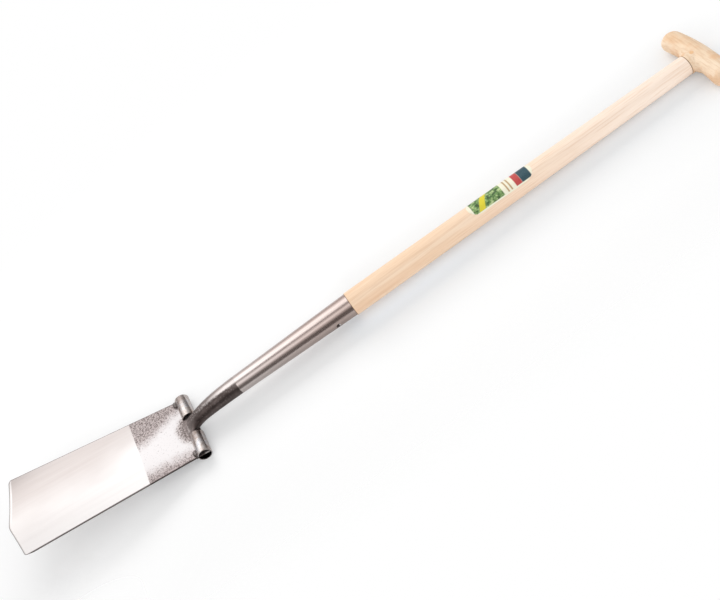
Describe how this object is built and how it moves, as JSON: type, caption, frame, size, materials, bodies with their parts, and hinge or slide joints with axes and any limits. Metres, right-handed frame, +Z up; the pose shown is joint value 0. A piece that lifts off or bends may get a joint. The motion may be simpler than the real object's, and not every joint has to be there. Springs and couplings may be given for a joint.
{
  "type": "trenching spade",
  "caption": "Narrow trenching spade with a dished, pointed steel blade, tubular foot treads, a goose-neck socket and a tapered wooden shaft with a T-grip.",
  "frame": {"origin": "on the floor under the middle of the spade's length, with the spade lying on its step tubes and its grip", "axes": "+X from the blade's point towards the grip, +Y across the blade to its left, +Z up, off the front of the blade"},
  "size_m": [1.228, 0.1406, 0.0743],
  "materials": {
    "blade_steel": "ground bright below, dark forged scale above",
    "forged_steel": "dark forged scale, lightly burnished",
    "socket_steel": "turned satin steel",
    "tube_steel": "drawn tube with a faint heat tint",
    "weld_metal": "rippled weld metal",
    "shaft_wood": "pale hickory, sanded and lightly oiled",
    "rivet_steel": "dull steel",
    "grip_wood": "yellowish hardwood, sanded",
    "dowel_wood": "end grain of a darker dowel",
    "label_paper": "satin printed paper"
  },
  "bodies": {
    "root": {"blade": "blade_steel", "neck": "forged_steel", "socket": "socket_steel", "step_tube_left": "tube_steel", "step_tube_right": "tube_steel", "step_welds_left": "weld_metal", "step_welds_right": "weld_metal", "shaft": "shaft_wood", "socket_rivet": "rivet_steel", "grip": "grip_wood", "grip_dowel": "dowel_wood", "label": "label_paper"}
  },
  "joints": []
}
